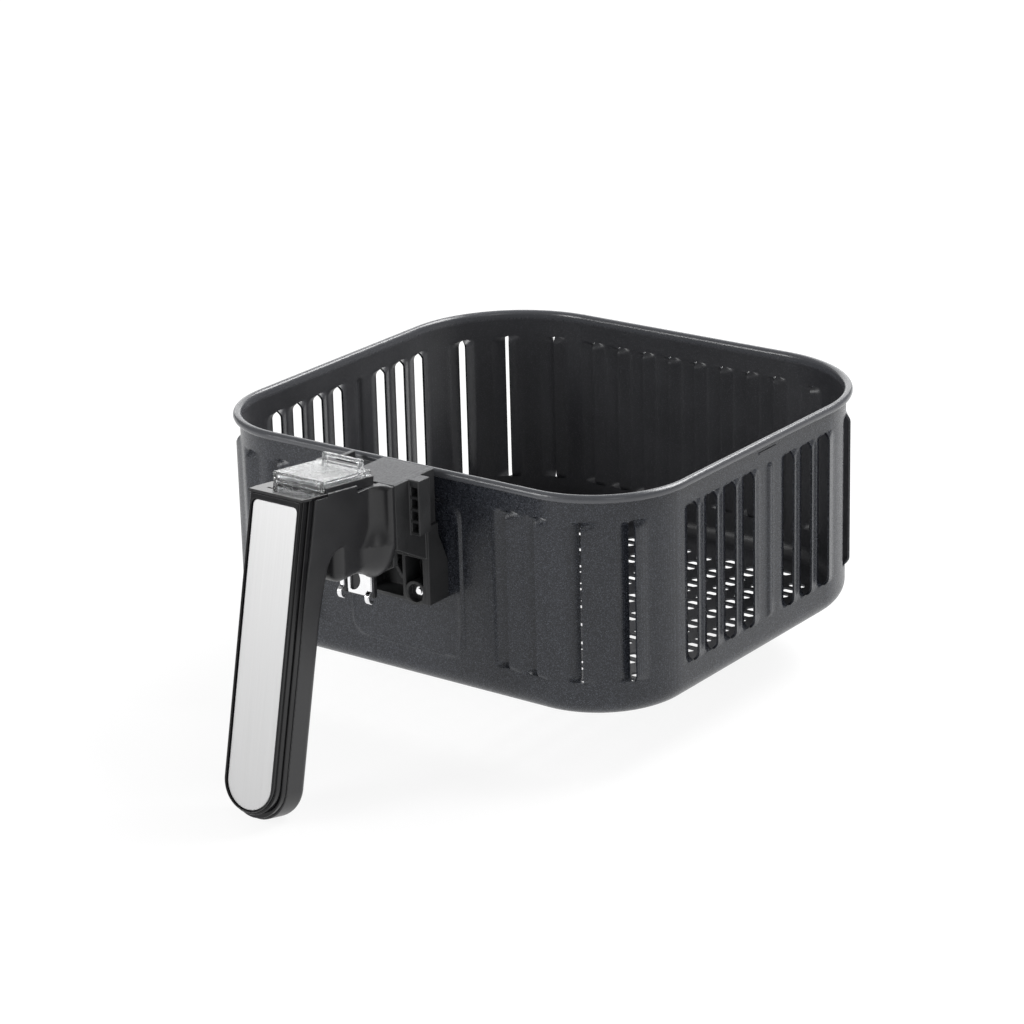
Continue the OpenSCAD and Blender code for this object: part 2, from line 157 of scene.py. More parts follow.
# ------------------------------------------------------------------ surface nets
def grid_mesh(name, F, lo, hi, cell, back=None):
    """A smooth mesh of the surface F = 0. back turns the grid's own y, z into the row frame's."""
    cell = np.array(cell if hasattr(cell, "__len__") else [cell] * 3, float) * 1.0
    lo = np.array(lo, float) - 2.3 * cell
    n = np.ceil((np.array(hi, float) + 2.3 * cell - lo) / cell).astype(int) + 1
    ax = [lo[i] + cell[i] * np.arange(n[i]) for i in range(3)]
    V = np.broadcast_to(F(ax[0][:, None, None], ax[1][None, :, None], ax[2][None, None, :]), tuple(n)).astype(np.float32)
    S = V < 0
    c = np.zeros(tuple(n - 1), np.int8)
    for a in (0, 1):
        for b in (0, 1):
            for d in (0, 1):
                c += S[a:n[0] - 1 + a, b:n[1] - 1 + b, d:n[2] - 1 + d]
    act = (c > 0) & (c < 8)
    ijk = np.argwhere(act)
    idx = np.full(act.shape, -1, np.int64)
    idx[act] = np.arange(len(ijk))
    corner = [(a, b, d) for a in (0, 1) for b in (0, 1) for d in (0, 1)]
    val = {k: V[ijk[:, 0] + k[0], ijk[:, 1] + k[1], ijk[:, 2] + k[2]].astype(float) for k in corner}
    tot = np.zeros((len(ijk), 3))
    cnt = np.zeros(len(ijk))
    for k in corner:
        for m in range(3):
            if k[m] == 0:
                q = list(k)
                q[m] = 1
                va, vb = val[k], val[tuple(q)]
                on = (va < 0) != (vb < 0)
                t = np.where(on, va / np.where(on, va - vb, 1), 0)
                pt = np.array(k, float)[None, :].repeat(len(ijk), 0)
                pt[:, m] += t
                tot += pt * on[:, None]
                cnt += on
    P = lo + (ijk + tot / cnt[:, None]) * cell
    quads = []
    for m in range(3):
        u, w = (m + 1) % 3, (m + 2) % 3
        sl0 = [slice(None)] * 3
        sl1 = [slice(None)] * 3
        sl0[m], sl1[m] = slice(0, n[m] - 1), slice(1, n[m])
        A, B = S[tuple(sl0)], S[tuple(sl1)]
        e = np.argwhere(A != B)
        e = e[(e[:, u] > 0) & (e[:, w] > 0) & (e[:, u] < n[u] - 1) & (e[:, w] < n[w] - 1)]
        inside = A[e[:, 0], e[:, 1], e[:, 2]]
        q = []
        for du, dw in ((-1, -1), (0, -1), (0, 0), (-1, 0)):
            f = e.copy()
            f[:, u] += du
            f[:, w] += dw
            q.append(idx[f[:, 0], f[:, 1], f[:, 2]])
        q = np.stack(q, 1)
        q[~inside] = q[~inside][:, ::-1]
        quads.append(q)
    Q = np.concatenate(quads)
    start = P.copy()

    def grad(p, e=0.004):
        g = np.empty_like(p)
        for m in range(3):
            d = np.zeros(3)
            d[m] = e
            a, b = p + d, p - d
            g[:, m] = (F(a[:, 0], a[:, 1], a[:, 2]) - F(b[:, 0], b[:, 1], b[:, 2])) / (2 * e)
        return g

    for _ in range(3):
        f = F(P[:, 0], P[:, 1], P[:, 2])
        g = grad(P)
        P = P - (f / np.maximum((g * g).sum(1), 0.3))[:, None] * g
        P = start + np.clip(P - start, -0.75 * cell, 0.75 * cell)
    N = grad(P, 0.03)
    N /= np.maximum(np.linalg.norm(N, axis=1), 1e-9)[:, None]
    if back:
        y, z = back(P[:, 1], P[:, 2])
        P = np.stack([P[:, 0], y, z], 1)
        y0, z0 = back(np.zeros(1), np.zeros(1))
        ny, nz = back(N[:, 1], N[:, 2])
        N = np.stack([N[:, 0], ny - y0, nz - z0], 1)
    return raw_mesh(name, P * MM, Q, N)


def raw_mesh(name, P, Q, N=None):
    me = bpy.data.meshes.new(name)
    me.vertices.add(len(P))
    me.vertices.foreach_set("co", np.ascontiguousarray(P, np.float32).ravel())
    me.loops.add(Q.size)
    me.loops.foreach_set("vertex_index", np.ascontiguousarray(Q, np.int32).ravel())
    me.polygons.add(len(Q))
    me.polygons.foreach_set("loop_start", np.arange(0, Q.size, Q.shape[1], dtype=np.int32))
    me.polygons.foreach_set("use_smooth", np.ones(len(Q), bool))
    me.update(calc_edges=True)
    me.validate()
    if N is not None and len(me.vertices) == len(N):
        me.normals_split_custom_set_from_vertices([tuple(v) for v in N])
    ob = bpy.data.objects.new(name, me)
    bpy.context.scene.collection.objects.link(ob)
    return ob


# ------------------------------------------------------------------ materials
def material(name):
    m = bpy.data.materials.new(name)
    m.use_nodes = True
    nt = m.node_tree
    nt.nodes.clear()
    out = nt.nodes.new("ShaderNodeOutputMaterial")
    p = nt.nodes.new("ShaderNodeBsdfPrincipled")
    nt.links.new(p.outputs[0], out.inputs[0])
    co = nt.nodes.new("ShaderNodeTexCoord")
    return m, nt, p, co.outputs["Object"]


def node(nt, kind, inputs=None, **props):
    n = nt.nodes.new(kind)
    for k, v in props.items():
        setattr(n, k, v)
    for k, v in (inputs or {}).items():
        if isinstance(v, bpy.types.NodeSocket):
            nt.links.new(v, n.inputs[k])
        else:
            n.inputs[k].default_value = v
    return n


def noise(nt, co, scale, detail=2.0, rough=0.5, stretch=None):
    if stretch:
        co = node(nt, "ShaderNodeMapping", {"Vector": co, "Scale": stretch}).outputs[0]
    return node(nt, "ShaderNodeTexNoise", {"Vector": co, "Scale": scale, "Detail": detail, "Roughness": rough}).outputs["Fac"]


def remap(nt, v, a, b, c, d):
    n = node(nt, "ShaderNodeMapRange", {"Value": v, "From Min": a, "From Max": b, "To Min": c, "To Max": d})
    n.clamp = True
    return n.outputs[0]


def mix(nt, f, a, b):
    n = nt.nodes.new("ShaderNodeMix")
    n.data_type = "RGBA"
    nt.links.new(f, n.inputs["Factor"])
    for k, v in ((6, a), (7, b)):
        if isinstance(v, bpy.types.NodeSocket):
            nt.links.new(v, n.inputs[k])
        else:
            n.inputs[k].default_value = (*v, 1)
    return n.outputs[2]


def calc(nt, op, a, b=0.0):
    n = nt.nodes.new("ShaderNodeMath")
    n.operation = op
    for k, v in ((0, a), (1, b)):
        if isinstance(v, bpy.types.NodeSocket):
            nt.links.new(v, n.inputs[k])
        else:
            n.inputs[k].default_value = v
    return n.outputs[0]


def bump(nt, p, h, strength, dist):
    b = node(nt, "ShaderNodeBump", {"Height": h, "Strength": strength, "Distance": dist})
    nt.links.new(b.outputs[0], p.inputs["Normal"])


def coating(name, dark, mid, fleck, amount, rough, spec=0.5):
    """Sprayed non-stick coating: fine orange peel, small pale flecks and a painted highlight on the rolled rim."""
    m, nt, p, co = material(name)
    broad = noise(nt, co, 35, 3)
    base = mix(nt, remap(nt, broad, 0.35, 0.65, 0, 1), dark, mid)
    v = node(nt, "ShaderNodeTexVoronoi", {"Vector": co, "Scale": 3300.0, "Randomness": 1.0})
    sep = node(nt, "ShaderNodeSeparateColor", {"Color": v.outputs["Color"]})
    f = remap(nt, sep.outputs[0], 1 - amount, 1.0, 0, 1)
    near = remap(nt, v.outputs["Distance"], 0.25, 0.6, 1, 0)
    f = calc(nt, "MULTIPLY", f, near)
    col = mix(nt, f, base, fleck)
    # Painted highlight: near the top of the rolled rim the colour is mixed toward a paler grey for the light it
    # catches; the rim is also made glossier there.
    height = node(nt, "ShaderNodeSeparateXYZ", {"Vector": co}).outputs[2]
    rim_highlight_mask = remap(nt, height, 0.0982, 0.0996, 0, 1)
    col = mix(nt, calc(nt, "MULTIPLY", rim_highlight_mask, 0.75), col, (0.086, 0.089, 0.098))
    nt.links.new(col, p.inputs["Base Color"])
    peel = noise(nt, co, 900, 3, 0.6)
    r_ = remap(nt, peel, 0.3, 0.7, rough - 0.06, rough + 0.08)
    nt.links.new(calc(nt, "SUBTRACT", r_, calc(nt, "MULTIPLY", rim_highlight_mask, 0.15)), p.inputs["Roughness"])
    h = calc(nt, "ADD", calc(nt, "MULTIPLY", peel, 1.0), calc(nt, "MULTIPLY", f, 0.6))
    bump(nt, p, h, 0.35, 0.00012)
    p.inputs["Specular IOR Level"].default_value = spec
    p.inputs["Metallic"].default_value = 0.0
    return m


def plastic(name, dark, mid, rough, grain, bump_s, spec=0.5, top=None, lit_top_z=None, scuff=0.03):
    m, nt, p, co = material(name)
    broad = noise(nt, co, 90, 3)
    fine = noise(nt, co, grain, 3, 0.6)
    col = mix(nt, remap(nt, calc(nt, "ADD", calc(nt, "MULTIPLY", broad, 0.5), calc(nt, "MULTIPLY", fine, 0.5)), 0.38, 0.62, 0, 1), dark, mid)
    # Painted light: faces that point up and lie above the given height are mixed toward the paler, mottled top colour,
    # standing in for overhead light on the tops.
    if top:
        g = nt.nodes.new("ShaderNodeNewGeometry")
        up = node(nt, "ShaderNodeSeparateXYZ", {"Vector": g.outputs["True Normal"]}).outputs[2]
        z = node(nt, "ShaderNodeSeparateXYZ", {"Vector": co}).outputs[2]
        f = calc(nt, "MULTIPLY", remap(nt, up, 0.85, 0.97, 0, 1), remap(nt, z, lit_top_z - 0.0006, lit_top_z, 0, 1))
        mott = noise(nt, co, 1300, 4, 0.65)
        pale = mix(nt, remap(nt, mott, 0.36, 0.64, 0, 1), tuple(c * 0.55 for c in top), tuple(c * 1.35 for c in top))
        col = mix(nt, f, col, pale)
        fine = calc(nt, "ADD", fine, calc(nt, "MULTIPLY", calc(nt, "MULTIPLY", mott, f), 2.5))
    nt.links.new(col, p.inputs["Base Color"])
    nt.links.new(remap(nt, broad, 0.3, 0.7, rough - scuff, rough + scuff), p.inputs["Roughness"])
    bump(nt, p, fine, bump_s, 0.00008)
    p.inputs["Specular IOR Level"].default_value = spec
    return m


def metal(name, a, b, rough, spread=0.05, scale=400, stretch=None, metallic=1.0, bump_s=0.1):
    m, nt, p, co = material(name)
    n1 = noise(nt, co, scale, 3, 0.6, stretch)
    nt.links.new(mix(nt, remap(nt, n1, 0.3, 0.7, 0, 1), a, b), p.inputs["Base Color"])
    nt.links.new(remap(nt, n1, 0.3, 0.7, rough - spread, rough + spread), p.inputs["Roughness"])
    p.inputs["Metallic"].default_value = metallic
    bump(nt, p, n1, bump_s, 0.00003)
    return m


M_OUT = coating("nonstick_outside", (0.0078, 0.0090, 0.0128), (0.0104, 0.0118, 0.0164), (0.125, 0.137, 0.165), 0.60, 0.29, 0.46)
# The inside copy of the coating is painted about three times lighter than the outside: painted light standing in for
# the lit interior of the basket.
M_IN = coating("nonstick_inside", (0.0260, 0.0266, 0.0300), (0.0345, 0.0352, 0.0392), (0.085, 0.085, 0.096), 0.30, 0.36, 0.5)
# The nylon block and the satin handle get painted light on their up-facing tops.
M_NYLON = plastic("glass_filled_nylon", (0.016, 0.0165, 0.0175), (0.026, 0.0265, 0.0280), 0.52, 1500, 0.35, 0.5, top=(0.085, 0.087, 0.092), lit_top_z=0.1045)
M_SATIN = plastic("satin_black_plastic", (0.0125, 0.0125, 0.0140), (0.0175, 0.0175, 0.0190), 0.36, 1800, 0.16, 0.5, top=(0.085, 0.087, 0.092), lit_top_z=0.1045)
M_GLOSS = plastic("gloss_black_plastic", (0.0050, 0.0050, 0.0058), (0.0075, 0.0075, 0.0085), 0.15, 700, 0.03, 0.34, scuff=0.03)
M_BED = plastic("black_acetal", (0.010, 0.010, 0.011), (0.020, 0.020, 0.022), 0.30, 1200, 0.12)
M_BUTTON = plastic("button_grey_plastic", (0.055, 0.056, 0.060), (0.085, 0.086, 0.090), 0.38, 1500, 0.15)
M_CHROME = metal("bright_chrome", (0.86, 0.86, 0.87), (0.93, 0.93, 0.94), 0.09, 0.03, 250)
M_STEEL = metal("zinc_plated_steel", (0.62, 0.62, 0.63), (0.78, 0.78, 0.79), 0.24, 0.07, 600)
M_SPRING = metal("spring_wire", (0.48, 0.48, 0.50), (0.62, 0.62, 0.64), 0.28, 0.06, 900)
M_TAPE = plastic("foam_tape", (0.10, 0.10, 0.10), (0.15, 0.15, 0.15), 0.8, 1400, 0.4)


def inlay_material():
    m, nt, p, co = material("brushed_aluminium")
    rot = node(nt, "ShaderNodeMapping", {"Vector": co, "Rotation": (LEAN, 0.0, 0.0)}).outputs[0]
    fine = noise(nt, rot, 1.0, 4, 0.6, (5200, 900, 14))
    wide = noise(nt, rot, 1.0, 2, 0.5, (1300, 200, 9))
    f = calc(nt, "ADD", calc(nt, "MULTIPLY", fine, 0.85), calc(nt, "MULTIPLY", wide, 0.15))
    brushed_tone = mix(nt, remap(nt, f, 0.35, 0.65, 0, 1), (0.50, 0.50, 0.50), (0.56, 0.56, 0.56))
    # Painted shade: the colour darkens toward the bottom of the grip, standing in for the reflected light falling off
    # down the inlay.
    low = remap(nt, node(nt, "ShaderNodeSeparateXYZ", {"Vector": co}).outputs[2], 0.11, -0.03, 0.10, 0.16)
    nt.links.new(mix(nt, low, brushed_tone, (0.30, 0.30, 0.31)), p.inputs["Base Color"])
    nt.links.new(remap(nt, f, 0.35, 0.65, 0.36, 0.50), p.inputs["Roughness"])
    p.inputs["Metallic"].default_value = 0.85
    bump(nt, p, f, 0.25, 0.00002)
    return m


def clear_material():
    m, nt, p, co = material("clear_polycarbonate")
    n1 = noise(nt, co, 320, 3, 0.55)
    nt.links.new(mix(nt, remap(nt, n1, 0.3, 0.7, 0, 1), (0.90, 0.92, 0.93), (0.97, 0.98, 0.98)), p.inputs["Base Color"])
    nt.links.new(remap(nt, n1, 0.35, 0.7, 0.02, 0.08), p.inputs["Roughness"])
    bump(nt, p, n1, 0.75, 0.00075)
    p.inputs["Transmission Weight"].default_value = 0.97
    p.inputs["Specular IOR Level"].default_value = 0.28
    p.inputs["IOR"].default_value = 1.50
    return m


M_INLAY = inlay_material()
M_CLEAR = clear_material()

made = []


def piece(ob, mats, body, slot, *nodes_):
    for m in mats:
        ob.data.materials.append(m)
    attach(ob, body)
    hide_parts(*nodes_)
    made.append(ob)
    return ob


# ------------------------------------------------------------------ basket: pressed and slit sheet
HX, HY, FR, RR = 117.0, 110.6, 44.1, 58.0
FCX, FCY, RCX, RCY = HX - FR, FR - HY, HX - RR, HY - RR
RIM, FOOT, BEAD = 100.8, 8.2, 2.0
Z0, Z1 = 16.2, 89.8
SIDE_Y = [-58, -43, -28, -13, 20, 35, 50]
BACK_X = [-52.5, -37.5, -22.5, -7.5, 7.5, 22.5, 37.5, 52.5]
FRONT_X = [-71.1, -56.1, 56.1, 71.1]
REAR_A, FRONT_A = [26.3, 49.7, 73.4], [36.0, 65.2]

# The wall's outline as straight and round runs, counter-clockwise from the middle of the front
runs = [("l", (0, -HY), (FCX, -HY)), ("a", (FCX, FCY), FR, -90), ("l", (HX, FCY), (HX, RCY)), ("a", (RCX, RCY), RR, 0),
        ("l", (RCX, HY), (-RCX, HY)), ("a", (-RCX, RCY), RR, 90), ("l", (-HX, RCY), (-HX, FCY)), ("a", (-FCX, FCY), FR, 180),
        ("l", (-FCX, -HY), (0, -HY))]
lens = [math.dist(r[1], r[2]) if r[0] == "l" else r[2] * math.pi / 2 for r in runs]
starts = np.concatenate([[0], np.cumsum(lens)])
TOTAL = starts[-1]


def on_outline(s):
    """Point and outward normal of the outer face at arc length s."""
    s = s % TOTAL
    k = min(int(np.searchsorted(starts, s, "right")) - 1, len(runs) - 1)
    r, t = runs[k], s - starts[k]
    if r[0] == "l":
        dx, dy = (r[2][0] - r[1][0]) / lens[k], (r[2][1] - r[1][1]) / lens[k]
        return r[1][0] + dx * t, r[1][1] + dy * t, dy, -dx
    a = math.radians(r[3]) + t / r[2]
    return r[1][0] + r[2] * math.cos(a), r[1][1] + r[2] * math.sin(a), math.cos(a), math.sin(a)


louvres = []
for yy in SIDE_Y:
    louvres.append(starts[2] + (yy - FCY))
    louvres.append(starts[6] + (RCY - yy))
for xx in BACK_X:
    louvres.append(starts[4] + (RCX - (-xx)))
for xx in FRONT_X:
    louvres.append(xx if xx > 0 else TOTAL + xx)
for aa in REAR_A:
    louvres.append(starts[3] + math.radians(aa) * RR)
    louvres.append(starts[5] + math.radians(90 - aa) * RR)
for aa in FRONT_A:
    louvres.append(starts[1] + math.radians(90 - aa) * FR)
    louvres.append(starts[7] + math.radians(aa) * FR)
louvres = sorted(louvres)
PUSH, HALF, BLADE = 6.0, 0.8, 7.2
OUT_D, IN_D = 2.25, 2.6

cols = set()
local = [-6.8, -6.2, -5.5, -4.6, -3.7, -2.8, -2.0, -1.35, -HALF, HALF, 1.3, 2.2, 3.2, 4.3, 5.4, 6.5, 7.4, 8.0]
for c in louvres:
    for o in local:
        cols.add(round((c + o) % TOTAL, 4))
fixed = sorted(cols)
for extra in [29.2, 29.8, 30.3, 30.8, 31.3, 31.9, 32.6, 28.4, 26.5]:
    for s_ in (extra, TOTAL - extra):
        if min(abs(s_ - c) for c in fixed) > 0.4:
            cols.add(round(s_, 4))
for base, sg in ((starts[2] - FCY, 1), (starts[6] + RCY, -1)):
    for o in (1.2, 1.8, 2.3, 2.9, 3.5, 4.1, 4.7, 5.2, 5.8):
        s_ = base + sg * o
        if min(abs(s_ - c) for c in cols) > 0.35:
            cols.add(round(s_, 4))
cols.add(0.0)
cols = sorted(cols)
full = []
step = 2.2
for i, c in enumerate(cols):
    nx = cols[i + 1] if i + 1 < len(cols) else TOTAL
    k = max(1, int(round((nx - c) / step)))
    full += [c + (nx - c) * j / k for j in range(k)]
S_ = np.array(full)
NC = len(S_)
PT = np.array([on_outline(s) for s in S_])

# Rows of the wall from the floor's edge to the end of the rolled rim: (inset of the middle face, height)
rows = []
for k in range(8):
    a = math.radians(-90 + 90 * k / 8)
    rows.append((FOOT - (FOOT - 0.5) * math.cos(a), FOOT + (FOOT - 0.5) * math.sin(a)))
ends = [0.45, 0.95, 1.5, 2.1, 2.8, 3.6, 4.5, 5.7]
zs = [FOOT, 10.4, 12.4, 13.6, 14.4, 15.1, Z0 - 0.5, Z0] + [Z0 + e for e in ends]
zs += list(np.linspace(Z0 + 8.5, Z1 - 8.5, 14))
zs += [Z1 - e for e in reversed(ends)] + [Z1, Z1 + 0.5, 91.2, 92.6, 94.4, 96.4, 98.2, 99.6]
rows += [(0.5, z) for z in zs]
for k in range(0, 15):
    a = math.radians(180 - 300 * k / 14)
    rows.append((-(1.0 + 1.5 * math.cos(a)), RIM + 1.5 * math.sin(a)))
R_ = np.array(rows)
NR = len(rows)


# Signed distance along the wall from the nearest louvre
d = (S_[:, None] - np.array(louvres)[None, :] + TOTAL / 2) % TOTAL - TOTAL / 2
near = np.abs(d - 0.62).argmin(1)
D_ = d[np.arange(NC), near]
zz = R_[:, 1]
wall_row = (R_[:, 0] == 0.5)
# Ends of the blade and of the pushed strip run out over a few millimetres


def round_end(r):
    t = np.clip(np.minimum(zz - Z0, Z1 - zz) / r, 0, 1)
    return (1 - (1 - t) ** 2) * wall_row


end_out, end_in = round_end(3.6), round_end(2.8)
blade = np.where((D_ >= HALF - 1e-3) & (D_ <= HALF + BLADE), 1 - (D_ - HALF) / BLADE, 0)
blade = np.where(blade > 0, smooth(blade) * 0.35 + blade * 0.65, 0) * OUT_D
push = np.where((D_ <= -HALF + 1e-3) & (D_ >= -HALF - PUSH), 1 - (-HALF - D_) / PUSH, 0)
push = np.where(push > 0, smooth(push) * 0.4 + push * 0.6, 0) * IN_D
disp = blade[None, :] * end_out[:, None] - push[None, :] * end_in[:, None]
# Raised panel behind the bracket, with a soft edge
sx = np.minimum(S_, TOTAL - S_)
qx = np.maximum(sx[None, :] - (31 - 8), 0)
qz = np.maximum(np.abs(zz[:, None] - (15.5 + 88) / 2) - ((88 - 15.5) / 2 - 8), 0)
edge = np.hypot(qx, qz) - 8
inside = np.maximum(np.maximum(sx[None, :] - 31, np.abs(zz[:, None] - 51.75) - 36.25), -8)
sd_panel = np.where((qx > 0) | (qz > 0), edge, inside)
panel = (0.9 * smooth((0.4 - sd_panel) / 1.4) + 0.3 * np.exp(-((sd_panel + 0.7) / 0.8) ** 2)) * wall_row[:, None] * (sx[None, :] < 34)
disp = np.where(panel > 0, np.maximum(disp, panel), disp)
# Upright ribs of the side walls
for base, sg in ((starts[2] - FCY, 1), (starts[6] + RCY, -1)):
    c = base + sg * 3.5
    u = np.abs(S_ - c)
    rib = 0.8 * smooth((2.1 - u) / 1.1)[None, :] * (smooth((zz - Z0) / 2.0) * smooth((Z1 - zz) / 2.0) * wall_row)[:, None]
    disp = np.where(rib > 0, np.maximum(disp, rib), disp)

off = -R_[:, 0][:, None] + disp
X = PT[:, 0][None, :] + PT[:, 2][None, :] * off
Y = PT[:, 1][None, :] + PT[:, 3][None, :] * off
Z = np.repeat(zz[:, None], NC, 1)
V = np.stack([X, Y, Z], 2).reshape(-1, 3)
faces = []
in_slit_row = (zz >= Z0 - 1e-6) & (zz <= Z1 + 1e-6) & wall_row
for j in range(NC):
    k = (j + 1) % NC
    slit = abs(D_[j] + HALF) < 1e-3 and abs(D_[k] - HALF) < 1e-3 and near[j] == near[k]
    for i in range(NR - 1):
        if slit and in_slit_row[i] and in_slit_row[i + 1]:
            continue
        faces.append((i * NC + j, i * NC + k, (i + 1) * NC + k, (i + 1) * NC + j))

# The floor, with its pointed holes
loop = V[:NC, :2]
pts = [Vector((p[0], p[1])) for p in loop]
edges = [(i, (i + 1) % NC) for i in range(NC)]
holes = []
for i in range(-6, 7):
    for j in range(-12, 13):
        x, y = i * 14.3, (j + (0.5 if i % 2 == 0 else 0)) * 7.3
        ex = abs(x) + 4.2 + 6
        if ex < HX - FOOT - 4 and abs(y) < HY - FOOT - 12 \
                and math.hypot(max(0, ex - RCX), max(0, y - RCY)) < RR - FOOT - 2 \
                and math.hypot(max(0, ex - FCX), max(0, FCY - y)) < FR - FOOT - 2:
            holes.append((x, y))
shape = [(-4.3, 0), (-4.0, -0.85), (-3.1, -2.05), (-2.6, -2.4), (2.6, -2.4), (3.1, -2.05), (4.0, -0.85), (4.3, 0),
         (4.0, 0.85), (3.1, 2.05), (2.6, 2.4), (-2.6, 2.4), (-3.1, 2.05), (-4.0, 0.85)]
for hx_, hy_ in holes:
    b0 = len(pts)
    pts += [Vector((hx_ + p[0], hy_ + p[1])) for p in shape]
    edges += [(b0 + i, b0 + (i + 1) % len(shape)) for i in range(len(shape))]
res = geometry.delaunay_2d_cdt(pts, edges, [], 1, 1e-5)
fverts = res[0]


def in_hole(t):
    cx, cy = sum(fverts[i][0] for i in t) / 3, sum(fverts[i][1] for i in t) / 3
    for hx_, hy_ in holes:
        u, v = abs(cx - hx_), abs(cy - hy_)
        if u < 4.3 and v < 2.4 and v < 2.4 - max(0.0, (u - 2.6)) * 2.4 / 1.7 + 0.25:
            return True
    return False


ffaces = [t for t in res[2] if not in_hole(t)]
zfloor = R_[0, 1]

bm = bmesh.new()
bv = [bm.verts.new(Vector(v) * MM) for v in V]
for f in faces:
    bm.faces.new([bv[i] for i in f])
fv = [bm.verts.new((v[0] * MM, v[1] * MM, zfloor * MM)) for v in fverts]
for f in ffaces:
    try:
        bm.faces.new([fv[i] for i in f])
    except ValueError:
        pass
bmesh.ops.remove_doubles(bm, verts=bm.verts, dist=1e-6)
bmesh.ops.recalc_face_normals(bm, faces=bm.faces)
me = bpy.data.meshes.new("basket_shell_sheet")
bm.to_mesh(me)
bm.free()
basket = bpy.data.objects.new("basket_sheet", me)
bpy.context.scene.collection.objects.link(basket)
for p_ in me.polygons:
    p_.use_smooth = True
# outward normals: the wall's first quad tells which way they point
mid = me.polygons[NR * 3].center
nrm = me.polygons[NR * 3].normal
if nrm.x * mid.x + nrm.y * mid.y < 0:
    me.flip_normals()
sol = basket.modifiers.new("sheet", "SOLIDIFY")
sol.thickness = 0.001
sol.offset = 0.0
sol.use_even_offset = True
sol.use_quality_normals = True
sol.material_offset = 1
sol.material_offset_rim = 0
basket.data.materials.append(M_OUT)
basket.data.materials.append(M_IN)


def bake_modifiers(ob):
    bpy.context.view_layer.update()
    dg = bpy.context.evaluated_depsgraph_get()
    new = bpy.data.meshes.new_from_object(ob.evaluated_get(dg), preserve_all_data_layers=True, depsgraph=dg)
    ob.modifiers.clear()
    ob.data = new
    return ob


def sharpen(ob, angle):
    bm_ = bmesh.new()
    bm_.from_mesh(ob.data)
    lim = math.radians(angle)
    for e in bm_.edges:
        e.smooth = not (len(e.link_faces) == 2 and e.calc_face_angle(0) > lim)
    bm_.to_mesh(ob.data)
    bm_.free()


def raised(bm_, pts, x0, x1, inset):
    """A low boss on the right wall: its outline is given as y, z."""
    cy, cz = sum(p[0] for p in pts) / len(pts), sum(p[1] for p in pts) / len(pts)
    low, high = [], []
    for y_, z_ in pts:
        low.append(bm_.verts.new((x0 * MM, y_ * MM, z_ * MM)))
        yy_ = y_ - math.copysign(min(inset, abs(y_ - cy)), y_ - cy)
        zz_ = z_ - math.copysign(min(inset, abs(z_ - cz)), z_ - cz)
        high.append(bm_.verts.new((x1 * MM, yy_ * MM, zz_ * MM)))
    n_ = len(pts)
    bm_.faces.new(high)
    bm_.faces.new(low[::-1])
    for i_ in range(n_):
        k_ = (i_ + 1) % n_
        bm_.faces.new((low[i_], low[k_], high[k_], high[i_]))


bake_modifiers(basket)
bm = bmesh.new()
bm.from_mesh(basket.data)
# level mark pressed under the rim of the right wall: a plain bar
raised(bm, [(-5.5, 95.4), (8.5, 95.4), (8.5, 96.7), (-5.5, 96.7)], 116.8, 117.35, 0.2)
bm.to_mesh(basket.data)
bm.free()
sharpen(basket, 38)
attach(basket, BODY)
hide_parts("basket_shell")


# ------------------------------------------------------------------ wall bracket
SIDE = [(-125, 44), (-111.4, 44), (-111.4, 61.5), (-117.4, 75), (-117.4, 105), (-145, 105), (-145, 76), (-141, 73.9), (-126, 66), (-125, 66)]
FLARE = [(-125, 44), (-111.4, 44), (-111.4, 61.5), (-117.4, 75), (-117.4, 80.5), (-125, 80.5)]
CHIN = [(-9.8, 61.5), (9.8, 61.5), (20.9, 67.6), (20.9, 101.6), (-20.9, 101.6), (-20.9, 67.6)]
SCREWS = [(-16.2, 48.4), (16.2, 48.4), (0, 62)]
NECK_FIX = [(-8, 97), (8, 97), (-14.2, 86.5), (14.2, 86.5)]
CAP_T = 1.3


